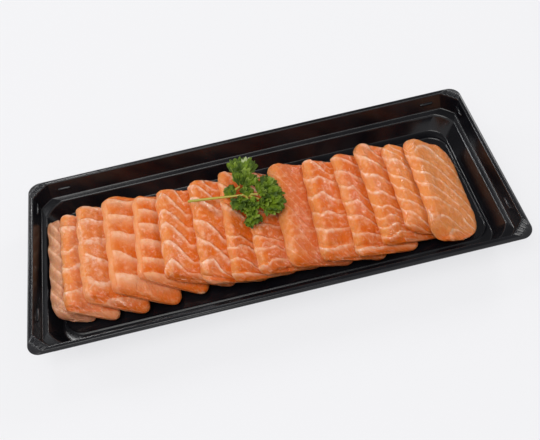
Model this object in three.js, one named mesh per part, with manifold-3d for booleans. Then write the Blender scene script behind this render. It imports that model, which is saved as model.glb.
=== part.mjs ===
// Salmon sashimi in a black takeaway tray: a thermoformed tray with a stepped wall, fifteen
// slices of raw salmon leaning on one another, and a sprig of parsley laid over them.
//
// Millimetres. +X runs along the tray to its right end, +Y to its far side, +Z is up. The origin
// is the middle of the tray's flat underside.

import * as THREE from 'three';
import { mergeVertices } from 'three/addons/utils/BufferGeometryUtils.js';
import Module from 'manifold-3d';

const wasm = await Module();
wasm.setup();

// ---- Driving dimensions -------------------------------------------------------------------

const GAP = 0.3; // clearance kept between pieces that touch
const FINEST = 0.03; // edges shorter than this are closed up

const TRAY = {
  length: 215, // over the flange lip
  width: 92,
  height: 18,
  wall: 0.7,
  rimInset: 0.7, // the flat rim starts this far in from the lip
  rimWidth: 1.9,
  lipDrop: 1.0, // the lip hangs this far below the rim
  ledgeInset: 3.6, // foot of the upper wall, at the tray's ends
  ledgeSide: 1.2, // and this much further in along its sides
  ledgeHeight: 9.5,
  ledgeWidth: 2.1, // from there to the top of the lower wall
  ledgeSlope: 0.7,
  ledgeBevel: 0.9, // height of the bevel from the ledge to the lower wall
  floorInset: 9.8, // foot of the lower wall
  bevel: 1.2, // between the outside of the wall and the underside
  soft: 0.2, // softening of the edges between the faces
};

// Corners are cut at 45 degrees. A leg is what a cut takes off each side, and a round goes from
// 0, a straight cut, to 1, an arc.
const CORNER = {
  steps: 8, // points along a corner, less one
  floorRound: 0.9,
  lowerRound: 0.45,
  upperRound: 0.15,
  rimRound: 0.2,
  lipRound: 1,
  lipLeg: 5.5,
  rimLeg: 5.8,
  innerRimLeg: 7.1,
  ledgeLeg: 5.4,
  lowerWallLeg: 7.6,
  floorLeg: 8.2,
  beadLeg: 9,
  ribHeight: 0.45, // stiffening ribs across the rim at each corner
};

// Low bead round the floor. It keeps further from the tray's sides than from its ends.
const BEAD = { inset: 10.5, side: 3.3, width: 1.0, height: 0.35 };

// Bumps on the upper wall that a lid snaps under.
const LUG = { length: 6.6, radius: 0.75, height: 13.6, endWallY: [33, -25], sideWallX: 91 };

const HEAP = {
  floor: TRAY.wall + GAP,
  bend: 2.4, // how softly a slice bends where it comes down to the floor
  flat: 2, // a slice runs on along the floor by this much
  firstFlat: 8, // and the first ones by more
  middle: 1.5, // the slices' middle, towards the tray's far side
  level: 14, // the slices are level this far from their middle, then droop
  droopSpan: 15,
  droop: 0.22, // share of the height lost at the ends
  mostDroop: 0.3,
};

// The last slices hang down to the floor at their near ends. from and over: where along the tray.
// start and reach: how far towards the near side. droop: share of the height lost.
const HANG = { from: 55, over: 18, start: 18, reach: 13, droop: 0.26 };

const SLICE = {
  halfLength: 30, // over which the bow falls to nothing
  stations: 15, // cross-sections from the near end to the far end
  endRound: 2.4, // how far the ends round over
  endThickness: 0.34, // share of the thickness left on the end's flat
  rightLean: 0.3, // the right edge slants by this share of the thickness
  bow: 0.4, // sideways bow of the left edge
  scallop: 0.45, // the cut edge bulges between the fat lines
  scallopPitch: 12.5,
  lastThickness: 5, // the slice on top of the rest
};

// Rounding of a slice's long edges: how far it reaches across, at most and as a share of the
// width, and which share of the thickness it takes.
const EDGE = {
  leftTop: { reach: 3.4, most: 0.2, up: 0.72 },
  leftBottom: { reach: 0.9, most: 0.2, up: 0.24 },
  right: { reach: 2.2, most: 0.15, up: 0.5 },
};

// The slices from left to right. left: x of the underside's left edge at y = 0. yaw: degrees that
// edge turns. tilt: slope of the underside in degrees. rest: height of that edge. ends: y of the
// near and far end at the left edge. slants: how far each end slants over the width. turns:
// radius of the near left corner, of the far left one and of both right ones.
const SLICES = [
  { left: -101.1, yaw: -1.6, tilt: 50, rest: 9.7, ends: [-25.8, 27], slants: [-2.5, -1], turns: [6, 2, 3] },
  { left: -94.5, yaw: -1.2, tilt: 34, rest: 12.3, ends: [-25.6, 27], slants: [-5.3, -2], turns: [3, 2, 3.5] },
  { left: -85.5, yaw: -2.4, tilt: 28.4, rest: 13.2, ends: [-24.2, 29.5], slants: [-7.4, -2], turns: [4, 2, 4.5] },
  { left: -73.4, yaw: -1.9, tilt: 26.2, rest: 13.6, ends: [-22.8, 32], slants: [-8.4, -3], turns: [3, 6, 5] },
  { left: -59.9, yaw: 1.1, tilt: 25.8, rest: 13.8, ends: [-19.8, 27.5], slants: [-9.4, -3], turns: [2, 4, 5] },
  { left: -48.3, yaw: 0.2, tilt: 25.6, rest: 13.8, ends: [-23.3, 27], slants: [-4.8, -2], turns: [3, 2, 3.5] },
  { left: -33.2, yaw: 0.6, tilt: 25.5, rest: 13.8, ends: [-28.6, 29], slants: [0, -3], turns: [6, 5, 3.5] },
  { left: -19.1, yaw: 2.6, tilt: 25.2, rest: 13.8, ends: [-31.5, 31], slants: [3.5, -4], turns: [6, 1.5, 4] },
  { left: -7.6, yaw: 2.4, tilt: 26, rest: 13.9, ends: [-30.5, 25.5], slants: [2, -3], turns: [5, 4, 4] },
  { left: 5.0, yaw: 0.8, tilt: 25.6, rest: 13.8, ends: [-30, 26.3], slants: [-1, -2], turns: [5, 4.5, 4] },
  { left: 20.7, yaw: 3.4, tilt: 25.4, rest: 13.8, ends: [-31.2, 23.7], slants: [-1, -2], turns: [4, 3, 4] },
  { left: 35.2, yaw: 2.2, tilt: 25.6, rest: 13.8, ends: [-33.2, 25], slants: [2.5, -4], turns: [5, 5, 4] },
  { left: 46.9, yaw: 1.2, tilt: 25.8, rest: 13.8, ends: [-30.5, 28], slants: [3.5, -5], turns: [4, 6, 4] },
  { left: 59.5, yaw: 2.6, tilt: 26.8, rest: 13.6, ends: [-26.5, 23.3], slants: [-1.5, -5], turns: [4, 5, 5] },
  { left: 69.6, yaw: 2.2, tilt: 30, rest: 13.4, ends: [-31.8, 24], slants: [-1, -2], turns: [8, 7, 11] },
];

const LEAF = {
  thickness: 0.55,
  rings: 3,
  spokes: 12,
  root: 0.16, // the blade starts at this share of its length
  wave: 0.7,
  lobe: 0.13, // depth of the cuts between the three lobes
  narrow: 0.26, // how much shorter the outer lobes are
  tooth: 0.09,
};
const RIB = { radius: 0.42, length: 0.5 };

// Leaflets of the sprig. at: where the leaflet springs from. heading: degrees from +X in plan.
// rise: degrees up. size: length to the tip. spread: half the fan's angle. frill: edge wave.
const LEAFLETS = [
  { at: [-8.1, 13.5, 19.3], heading: 83, rise: 14, size: 15.6, spread: 25, frill: 1.4, phase: 0.4 },
  { at: [-6.8, 13, 19.5], heading: 63, rise: 16, size: 15.4, spread: 26, frill: 1.4, phase: 2.1 },
  { at: [-6.5, 12.4, 19.4], heading: 27, rise: 14, size: 8.6, spread: 42, frill: 1, phase: 0.9 },
  { at: [-10.8, 9.7, 19], heading: 126, rise: 9, size: 6, spread: 58, frill: 0.8, phase: 1 },
  { at: [-5.9, 7.1, 19.3], heading: 72, rise: 17, size: 5.2, spread: 58, frill: 1, phase: 0.2 },
  { at: [-6.2, 6.5, 19.2], heading: 220, rise: 8, size: 8.4, spread: 64, frill: 1.1, phase: 1.6 },
  { at: [-0.5, 6.7, 19.7], heading: 34, rise: 13, size: 10.6, spread: 50, frill: 1.4, phase: 2.6 },
  { at: [-0.2, 6.2, 19.5], heading: -21, rise: 13, size: 11.8, spread: 36, frill: 1.2, phase: 0.9 },
  { at: [-0.6, 4.1, 19.3], heading: -49, rise: 10, size: 14, spread: 40, frill: 1.3, phase: 1.9 },
  { at: [-5, 5.5, 19.2], heading: -86, rise: 7, size: 9, spread: 60, frill: 1.1, phase: 2.4 },
  { at: [-5.6, 0.6, 19.1], heading: -86, rise: 6, size: 11.3, spread: 36, frill: 1.1, phase: 3 },
];

// The main stem, then its branches, each a list of points.
const STEM = {
  sides: 6,
  radius: 0.62,
  paths: [
    [[-32.2, 12.4, 18.8], [-21.4, 10.9, 18.9], [-11.5, 9.2, 19.1], [-5.4, 8.2, 19.3]],
    [[-15, 10.1, 18.9], [-11.2, 12.1, 19], [-7.6, 13.7, 19.3]],
    [[-6.2, 8.4, 19.3], [-3.4, 7.6, 19.5], [-0.3, 6.6, 19.7]],
    [[-6, 8.2, 19.3], [-3, 6, 19.3], [-0.5, 4, 19.3]],
    [[-6.4, 8.4, 19.3], [-5.5, 5.2, 19.2], [-5.8, 0.3, 19.2]],
  ],
};

const COLOURS = { tray: 0x16161a, salmon: 0xd9804c, leaf: 0x3f6b1c };

// ---- Solids -------------------------------------------------------------------------------

function geometryOf(points, triangles) {
  const geometry = new THREE.BufferGeometry();
  geometry.setAttribute('position', new THREE.Float32BufferAttribute(points.flat(), 3));
  geometry.setIndex(triangles.flat());
  return geometry;
}

function manifoldOf(geometry) {
  const bare = geometry.clone();
  bare.deleteAttribute('normal');
  bare.deleteAttribute('uv');
  const merged = mergeVertices(bare, 1e-5);
  return new wasm.Manifold(new wasm.Mesh({
    numProp: 3,
    vertProperties: new Float32Array(merged.attributes.position.array),
    triVerts: new Uint32Array(merged.index.array),
  }));
}

// One body of all the geometries. A hollow that the joining seals is filled.
function fused(geometries) {
  const whole = geometries.map(manifoldOf).reduce((sum, next) => sum.add(next)).simplify(FINEST);
  const [body] = whole.decompose().sort((one, other) => other.volume() - one.volume());
  const mesh = body.getMesh();
  const geometry = new THREE.BufferGeometry();
  geometry.setAttribute('position', new THREE.Float32BufferAttribute(mesh.vertProperties, mesh.numProp));
  geometry.setIndex([...mesh.triVerts]);
  return geometry;
}

// Joins closed rings with the same number of points, then closes both ends with fans.
function loft(rings, startCentre, endCentre) {
  const count = rings[0].length;
  const points = [...rings.flat(), startCentre, endCentre];
  const start = points.length - 2;
  const end = points.length - 1;
  const lastRing = (rings.length - 1) * count;
  const triangles = [];
  for (let j = 0; j < count; j += 1) {
    const k = (j + 1) % count;
    for (let i = 0; i + 1 < rings.length; i += 1) {
      const a = i * count;
      const b = a + count;
      triangles.push([a + j, b + j, b + k], [a + j, b + k, a + k]);
    }
    triangles.push([start, j, k], [end, lastRing + k, lastRing + j]);
  }
  return geometryOf(points, triangles);
}

// ---- Tray ---------------------------------------------------------------------------------

// One level outline of the tray. side is how much further in the outline runs along the tray's
// sides than at its ends, and rib is how far every other corner point stands up.
function trayRing(inset, height, leg, { round = 0, side = 0, rib = 0 } = {}) {
  const halfLength = TRAY.length / 2 - inset;
  const halfWidth = TRAY.width / 2 - inset - side;
  const points = [];
  for (let corner = 0; corner < 4; corner += 1) {
    const signX = corner === 0 || corner === 3 ? 1 : -1;
    const signY = corner < 2 ? 1 : -1;
    for (let i = 0; i <= CORNER.steps; i += 1) {
      const share = i / CORNER.steps;
      const angle = share * Math.PI / 2;
      const first = leg * THREE.MathUtils.lerp(share, 1 - Math.cos(angle), round);
      const second = leg * THREE.MathUtils.lerp(1 - share, 1 - Math.sin(angle), round);
      const [cutX, cutY] = corner % 2 === 0 ? [first, second] : [second, first];
      points.push([
        signX * (halfLength - cutX),
        signY * (halfWidth - cutY),
        height + (i % 2 === 1 ? rib : 0),
      ]);
    }
  }
  return points;
}

function trayShell() {
  const { wall, height, soft, ledgeBevel, ledgeInset, floorInset, bevel } = TRAY;
  const innerRim = TRAY.rimInset + TRAY.rimWidth;
  const ledgeEnd = ledgeInset + TRAY.ledgeWidth;
  const ledgeLow = TRAY.ledgeHeight - TRAY.ledgeSlope;
  const lip = height - TRAY.lipDrop;
  const floor = { round: CORNER.floorRound };
  const lower = { round: CORNER.lowerRound, side: TRAY.ledgeSide };
  const upper = { round: CORNER.upperRound, side: TRAY.ledgeSide };
  const rim = { round: CORNER.rimRound };
  const ribbed = { round: CORNER.rimRound, rib: CORNER.ribHeight };
  const edge = { round: CORNER.lipRound };
  const bead = (across, up) => trayRing(
    BEAD.inset + across * BEAD.width,
    wall + up * BEAD.height,
    CORNER.beadLeg - across * BEAD.width,
    { round: CORNER.floorRound, side: BEAD.side },
  );
  const rings = [
    // floor and bead, from the middle outwards
    bead(1, 0),
    bead(0.7, 1),
    bead(0.3, 1),
    bead(0, 0),
    // inside of the wall, upwards
    trayRing(floorInset, wall + soft, CORNER.floorLeg, floor),
    trayRing(ledgeEnd + ledgeBevel / 2, ledgeLow - ledgeBevel, CORNER.lowerWallLeg, lower),
    trayRing(ledgeEnd + soft / 2, ledgeLow - soft, CORNER.lowerWallLeg, lower),
    trayRing(ledgeEnd - ledgeBevel / 2, ledgeLow, CORNER.lowerWallLeg, lower),
    trayRing(ledgeInset, TRAY.ledgeHeight, CORNER.ledgeLeg, upper),
    trayRing(innerRim + soft / 2, height - 2 * soft, CORNER.innerRimLeg, rim),
    // rim, with its ribbed corners, and the lip
    trayRing(innerRim - soft, height, CORNER.innerRimLeg, ribbed),
    trayRing(TRAY.rimInset + soft, height, CORNER.rimLeg, ribbed),
    trayRing(TRAY.rimInset, height - 1.5 * soft, CORNER.rimLeg, rim),
    trayRing(soft / 2, lip + soft, CORNER.lipLeg, edge),
    trayRing(0, lip - soft / 2, CORNER.lipLeg, edge),
    trayRing(soft, lip - wall, CORNER.lipLeg, edge),
    trayRing(TRAY.rimInset + wall, lip - wall / 2, CORNER.rimLeg, rim),
    // outside of the wall, downwards
    trayRing(innerRim - wall, lip - wall / 2, CORNER.innerRimLeg, rim),
    trayRing(ledgeInset - wall, TRAY.ledgeHeight - wall / 2, CORNER.ledgeLeg, upper),
    trayRing(ledgeEnd - ledgeBevel / 2 - wall / 2, ledgeLow - wall, CORNER.lowerWallLeg, lower),
    trayRing(ledgeEnd - wall / 2, ledgeLow - 2 * wall, CORNER.lowerWallLeg, lower),
    trayRing(floorInset - wall, bevel, CORNER.floorLeg, floor),
    trayRing(floorInset - wall + bevel, 0, CORNER.floorLeg, floor),
  ];
  return loft(rings, [0, 0, wall], [0, 0, 0]);
}

// A bump half sunk in the inside of the upper wall, lying along X or along Y.
function lug(x, y, alongX) {
  const shape = new THREE.CapsuleGeometry(LUG.radius, LUG.length - 2 * LUG.radius, 3, 8);
  if (alongX) {
    shape.rotateZ(Math.PI / 2);
  }
  return shape.translate(x, y, LUG.height);
}

function tray() {
  const innerRim = TRAY.rimInset + TRAY.rimWidth;
  const down = (TRAY.height - LUG.height) / (TRAY.height - TRAY.ledgeHeight);
  const endX = TRAY.length / 2 - THREE.MathUtils.lerp(innerRim, TRAY.ledgeInset, down);
  const sideFoot = TRAY.ledgeInset + TRAY.ledgeSide;
  const sideY = TRAY.width / 2 - THREE.MathUtils.lerp(innerRim, sideFoot, down);
  const lugs = [-1, 1].flatMap((side) => [
    ...LUG.endWallY.map((y) => lug(side * endX, y, false)),
    lug(side * LUG.sideWallX, sideY, true),
    lug(side * LUG.sideWallX, -sideY, true),
  ]);
  return fused([trayShell(), ...lugs]);
}

// ---- Salmon -------------------------------------------------------------------------------

const radians = THREE.MathUtils.degToRad;

// The sheet under a slice, seen in a cross-section at y: its left edge, its height there and its
// slope. The last slice has the same sheet above it, higher by its thickness.
function sheetAt(index, y) {
  const under = SLICES[Math.min(index, SLICES.length - 1)];
  const along = (y - HEAP.middle) / SLICE.halfLength;
  const bow = SLICE.bow * Math.sin(2.3 * index);
  const left = under.left + y * Math.tan(radians(under.yaw)) + bow * (1 - along * along);
  const lift = index < SLICES.length ? 0 : SLICE.lastThickness / Math.cos(radians(under.tilt));
  return { left, rest: under.rest + lift, tilt: radians(under.tilt) };
}

// A sheet comes down at its slope and bends softly to run along the floor.
function heightOn(sheet, x) {
  const rise = sheet.rest - HEAP.floor - Math.tan(sheet.tilt) * (x - sheet.left);
  return HEAP.floor + (rise + Math.hypot(rise, HEAP.bend)) / 2;
}

// A slice's cross-section at y, which fills the space between two sheets. point takes the shares
// of the width and of the thickness.
function sectionAt(index, y) {
  const under = sheetAt(index, y);
  const over = sheetAt(index + 1, y);
  const clear = GAP / 2 / Math.cos(under.tilt);
  const slope = Math.tan(under.tilt);
  const flat = HEAP.flat + HEAP.firstFlat * Math.exp(-index);
  const right = under.left + (under.rest - HEAP.floor) / slope + flat;
  const rise = heightOn(over, under.left) - under.rest - 2 * clear;
  const thickness = rise * Math.cos(over.tilt) / Math.cos(over.tilt - under.tilt);
  const leftLean = thickness * Math.sin(under.tilt);
  const rightLean = thickness * SLICE.rightLean;
  const point = (across, up) => {
    const lowX = THREE.MathUtils.lerp(under.left, right, across);
    const highX = lowX + THREE.MathUtils.lerp(leftLean, rightLean, across);
    const low = heightOn(under, lowX) + clear;
    const high = heightOn(over, highX) - clear;
    return [THREE.MathUtils.lerp(lowX, highX, up), THREE.MathUtils.lerp(low, high, up)];
  };
  return { width: Math.hypot(right - under.left, under.rest - HEAP.floor), thickness, point };
}

// Outline of a cross-section as shares of its width and thickness. The left edge is a slanting
// cut with a soft upper corner, and the right edge is rounded.
function sectionOutline(width, thickness) {
  const outline = [];
  const arc = (centreAcross, centreUp, [reachAcross, reachUp], from, to, steps) => {
    for (let i = 0; i <= steps; i += 1) {
      const angle = radians(THREE.MathUtils.lerp(from, to, i / steps));
      outline.push([
        centreAcross + (reachAcross / width) * Math.cos(angle),
        centreUp + (reachUp / thickness) * Math.sin(angle),
      ]);
    }
  };
  const sizeOf = ({ reach, most, up }) => [Math.min(reach, width * most), thickness * up];
  const leftTop = sizeOf(EDGE.leftTop);
  const leftBottom = sizeOf(EDGE.leftBottom);
  const right = sizeOf(EDGE.right);
  arc(1 - right[0] / width, 0.5, right, -90, 45, 3);
  outline.push([0.62, 1], [0.4, 1]);
  arc(leftTop[0] / width, 1 - EDGE.leftTop.up, leftTop, 90, 180, 3);
  arc(leftBottom[0] / width, EDGE.leftBottom.up, leftBottom, 180, 270, 1);
  outline.push([0.5, 0]);
  return outline;
}

// How far a round corner of the given radius has cut in, at a distance from the end.
function cornerCut(radius, fromEnd) {
  if (fromEnd >= radius) {
    return 0;
  }
  return radius - Math.sqrt(radius * radius - (radius - fromEnd) ** 2);
}

// The heap is lower towards the slices' near and far ends.
function drooped(x, y, z) {
  const past = Math.max(0, Math.abs(y - HEAP.middle) - HEAP.level) / HEAP.droopSpan;
  const hang = THREE.MathUtils.smoothstep(x, HANG.from, HANG.from + HANG.over)
    * THREE.MathUtils.smoothstep(-y, HANG.start, HANG.start + HANG.reach);
  const share = 1 - Math.min(HEAP.mostDroop, HEAP.droop * past * past) - HANG.droop * hang;
  return HEAP.floor + (z - HEAP.floor) * share;
}

function centreOf(ring) {
  return [0, 1, 2].map((axis) => ring.reduce((sum, point) => sum + point[axis], 0) / ring.length);
}

function slice(index) {
  const { ends: [near, far], slants, turns } = SLICES[index];
  const rings = [];
  for (let station = 0; station <= SLICE.stations; station += 1) {
    // Stations crowd towards both ends, where the slice rounds over.
    const share = (1 - Math.cos((station / SLICE.stations) * Math.PI)) / 2;
    const y = THREE.MathUtils.lerp(near, far, share);
    const fromEnd = Math.min(y - near, far - y);
    const fullness = Math.min(1, fromEnd / SLICE.endRound);
    const thinner = Math.max(SLICE.endThickness, Math.sqrt(1 - (1 - fullness) ** 2));
    const wave = Math.sin((2 * Math.PI * y) / SLICE.scallopPitch + 1.7 * index);
    const turn = Math.max(cornerCut(turns[0], y - near), cornerCut(turns[1], far - y));
    const { width, thickness } = sectionAt(index, y);
    const cutLeft = (turn + SLICE.scallop * (1 + wave) / 2) / width;
    const cutRight = cornerCut(turns[2], fromEnd) / width;
    const slant = THREE.MathUtils.lerp(...slants, share);
    const outline = sectionOutline(width * (1 - cutLeft - cutRight), thickness);
    rings.push(outline.map(([a, b]) => {
      const across = THREE.MathUtils.lerp(cutLeft, 1 - cutRight, a);
      const slanted = y + slant * across;
      const [x, z] = sectionAt(index, slanted).point(across, 0.5 + (b - 0.5) * thinner);
      return [x, slanted, drooped(x, slanted, z)];
    }));
  }
  return loft(rings, centreOf(rings[0]), centreOf(rings[rings.length - 1]));
}

// ---- Parsley ------------------------------------------------------------------------------

// A fan-shaped leaflet with three lobes and a frilled edge: a thin solid with like faces.
function leaflet({ at, heading, rise, size, spread, frill, phase }) {
  const points = [];
  const { rings, spokes } = LEAF;
  for (const side of [0.5, -0.5]) {
    for (let ring = 0; ring <= rings; ring += 1) {
      const out = LEAF.root + (1 - LEAF.root) * (ring / rings);
      for (let spoke = 0; spoke <= spokes; spoke += 1) {
        const turn = (spoke / spokes) * 2 - 1;
        const lobes = 1 - LEAF.lobe * (1 - Math.cos(turn * 3 * Math.PI)) - LEAF.narrow * turn * turn;
        const reach = size * out * THREE.MathUtils.lerp(1, lobes, out * out);
        const angle = radians(turn * spread);
        const wave = frill * out * (Math.sin(turn * 7 + phase) - Math.sin(phase)) * LEAF.wave;
        const tooth = spoke % 2 === 0 ? 1 : 1 - LEAF.tooth * out;
        points.push([
          reach * tooth * Math.cos(angle),
          reach * tooth * Math.sin(angle),
          wave + side * LEAF.thickness,
        ]);
      }
    }
  }
  const row = spokes + 1;
  const sheet = row * (rings + 1);
  const triangles = [];
  const quad = (a, b, c, d) => triangles.push([a, b, c], [a, c, d]);
  for (let ring = 0; ring < rings; ring += 1) {
    for (let spoke = 0; spoke < spokes; spoke += 1) {
      const a = ring * row + spoke;
      triangles.push([a, a + row, a + row + 1], [a, a + row + 1, a + 1]);
      triangles.push([sheet + a, sheet + a + row + 1, sheet + a + row]);
      triangles.push([sheet + a, sheet + a + 1, sheet + a + row + 1]);
    }
    const left = ring * row;
    const right = left + spokes;
    quad(left, sheet + left, sheet + left + row, left + row);
    quad(right, right + row, sheet + right + row, sheet + right);
  }
  for (let spoke = 0; spoke < spokes; spoke += 1) {
    const outer = rings * row + spoke;
    quad(spoke, spoke + 1, sheet + spoke + 1, sheet + spoke);
    quad(outer, sheet + outer, sheet + outer + 1, outer + 1);
  }
  const geometry = geometryOf(points, triangles);
  geometry.rotateY(-radians(rise));
  geometry.rotateZ(radians(heading));
  return geometry.translate(...at);
}

function rod(path, radius, steps) {
  const section = new THREE.Shape();
  for (let i = 0; i < STEM.sides; i += 1) {
    const angle = (i / STEM.sides) * 2 * Math.PI;
    section[i === 0 ? 'moveTo' : 'lineTo'](radius * Math.cos(angle), radius * Math.sin(angle));
  }
  const curve = new THREE.CatmullRomCurve3(path.map((point) => new THREE.Vector3(...point)));
  return new THREE.ExtrudeGeometry(section, { steps, extrudePath: curve });
}

// The stalk that carries a leaflet on along its middle.
function rib({ at, heading, rise, size }) {
  const length = size * RIB.length;
  const level = length * Math.cos(radians(rise));
  const tip = [
    at[0] + level * Math.cos(radians(heading)),
    at[1] + level * Math.sin(radians(heading)),
    at[2] + length * Math.sin(radians(rise)),
  ];
  return rod([at, tip], RIB.radius, 1);
}

function sprig() {
  const stems = STEM.paths.map((path) => rod(path, STEM.radius, 2 * (path.length - 1)));
  return fused([...stems, ...LEAFLETS.map(rib), ...LEAFLETS.map(leaflet)]);
}

// ---- The whole ----------------------------------------------------------------------------

function piece(name, geometry, colour, roughness) {
  const material = new THREE.MeshStandardMaterial({ color: colour, roughness, metalness: 0 });
  const mesh = new THREE.Mesh(geometry, material);
  mesh.name = name;
  return mesh;
}

const group = new THREE.Group();
group.add(piece('tray', tray(), COLOURS.tray, 0.25));
SLICES.forEach((_, index) => {
  const number = String(index + 1).padStart(2, '0');
  group.add(piece(`salmon_slice_${number}`, slice(index), COLOURS.salmon, 0.35));
});
group.add(piece('parsley_sprig', sprig(), COLOURS.leaf, 0.6));

export default group;
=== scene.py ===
"""Looks of the salmon sashimi tray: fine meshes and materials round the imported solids.

Lengths are in millimetres in the shape code and become metres in new_object().
"""

import math

import bpy
import numpy as np
from mathutils import Matrix, Vector, noise


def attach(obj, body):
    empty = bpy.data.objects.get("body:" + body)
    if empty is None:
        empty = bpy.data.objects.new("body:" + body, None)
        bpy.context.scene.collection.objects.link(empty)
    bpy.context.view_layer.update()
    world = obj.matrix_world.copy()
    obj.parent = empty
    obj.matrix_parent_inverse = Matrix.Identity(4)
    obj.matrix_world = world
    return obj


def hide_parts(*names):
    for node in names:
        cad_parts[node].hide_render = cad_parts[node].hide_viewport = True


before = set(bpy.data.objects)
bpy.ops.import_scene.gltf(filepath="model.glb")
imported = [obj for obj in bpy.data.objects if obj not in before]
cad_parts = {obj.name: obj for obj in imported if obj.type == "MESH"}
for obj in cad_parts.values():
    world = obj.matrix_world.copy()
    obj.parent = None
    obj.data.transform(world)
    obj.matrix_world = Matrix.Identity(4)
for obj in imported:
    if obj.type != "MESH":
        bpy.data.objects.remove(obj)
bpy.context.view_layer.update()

MM = 0.001
BODY = "root"

# ---- Driving dimensions, the same as in the solids -----------------------------------------

GAP = 0.3

TRAY = {
    "length": 215,
    "width": 92,
    "height": 18,
    "wall": 0.7,
    "rim_inset": 0.7,
    "rim_width": 1.9,
    "lip_drop": 1.0,
    "ledge_inset": 3.6,
    "ledge_side": 1.2,
    "ledge_height": 9.5,
    "ledge_width": 2.1,
    "ledge_slope": 0.7,
    "ledge_bevel": 0.9,
    "floor_inset": 9.8,
    "bevel": 1.2,
    "soft": 0.2,
    "edge": 0.35,  # the edges' roundness, in so many steps
    "edge_steps": 4,
}
CORNER = {
    "steps": 64,
    "floor_round": 0.9,
    "lower_round": 0.45,
    "upper_round": 0.15,
    "rim_round": 0.2,
    "lip_round": 1,
    "lip_leg": 5.5,
    "rim_leg": 5.8,
    "inner_rim_leg": 7.1,
    "ledge_leg": 5.4,
    "lower_wall_leg": 7.6,
    "floor_leg": 8.2,
    "bead_leg": 9,
    "rib_height": 0.45,
    "ribs": 4,
}
BEAD = {"inset": 10.5, "side": 3.3, "width": 1.0, "height": 0.35}
LUG = {"length": 6.6, "radius": 0.75, "height": 13.6, "end_wall_y": (33, -25), "side_wall_x": 91}

HEAP = {
    "floor": TRAY["wall"] + GAP,
    "bend": 2.4,
    "flat": 2,
    "first_flat": 8,
    "middle": 1.5,
    "level": 14,
    "droop_span": 15,
    "droop": 0.22,
    "most_droop": 0.3,
}
HANG = {"from": 55, "over": 18, "start": 18, "reach": 13, "droop": 0.26}
SLICE = {
    "half_length": 30,
    "stations": 150,
    "end_round": 2.4,
    "end_thickness": 0.34,
    "right_lean": 0.3,
    "bow": 0.4,
    "scallop": 0.45,
    "scallop_pitch": 12.5,
    "last_thickness": 5,
}
EDGE = {"left_top": (3.4, 0.2, 0.72), "left_bottom": (0.9, 0.2, 0.24), "right": (2.2, 0.15, 0.5)}

# left, yaw, tilt, rest, ends (near, far), slants (near, far), turns (near left, far left, right)
SLICES = [
    (-101.1, -1.6, 50, 9.7, (-25.8, 27), (-2.5, -1), (6, 2, 3)),
    (-94.5, -1.2, 34, 12.3, (-25.6, 27), (-5.3, -2), (3, 2, 3.5)),
    (-85.5, -2.4, 28.4, 13.2, (-24.2, 29.5), (-7.4, -2), (4, 2, 4.5)),
    (-73.4, -1.9, 26.2, 13.6, (-22.8, 32), (-8.4, -3), (3, 6, 5)),
    (-59.9, 1.1, 25.8, 13.8, (-19.8, 27.5), (-9.4, -3), (2, 4, 5)),
    (-48.3, 0.2, 25.6, 13.8, (-23.3, 27), (-4.8, -2), (3, 2, 3.5)),
    (-33.2, 0.6, 25.5, 13.8, (-28.6, 29), (0, -3), (6, 5, 3.5)),
    (-19.1, 2.6, 25.2, 13.8, (-31.5, 31), (3.5, -4), (6, 1.5, 4)),
    (-7.6, 2.4, 26, 13.9, (-30.5, 25.5), (2, -3), (5, 4, 4)),
    (5.0, 0.8, 25.6, 13.8, (-30, 26.3), (-1, -2), (5, 4.5, 4)),
    (20.7, 3.4, 25.4, 13.8, (-31.2, 23.7), (-1, -2), (4, 3, 4)),
    (35.2, 2.2, 25.6, 13.8, (-33.2, 25), (2.5, -4), (5, 5, 4)),
    (46.9, 1.2, 25.8, 13.8, (-30.5, 28), (3.5, -5), (4, 6, 4)),
    (59.5, 2.6, 26.8, 13.6, (-26.5, 23.3), (-1.5, -5), (4, 5, 5)),
    (69.6, 2.2, 30, 13.4, (-31.8, 24), (-1, -2), (8, 7, 11)),
]

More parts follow.
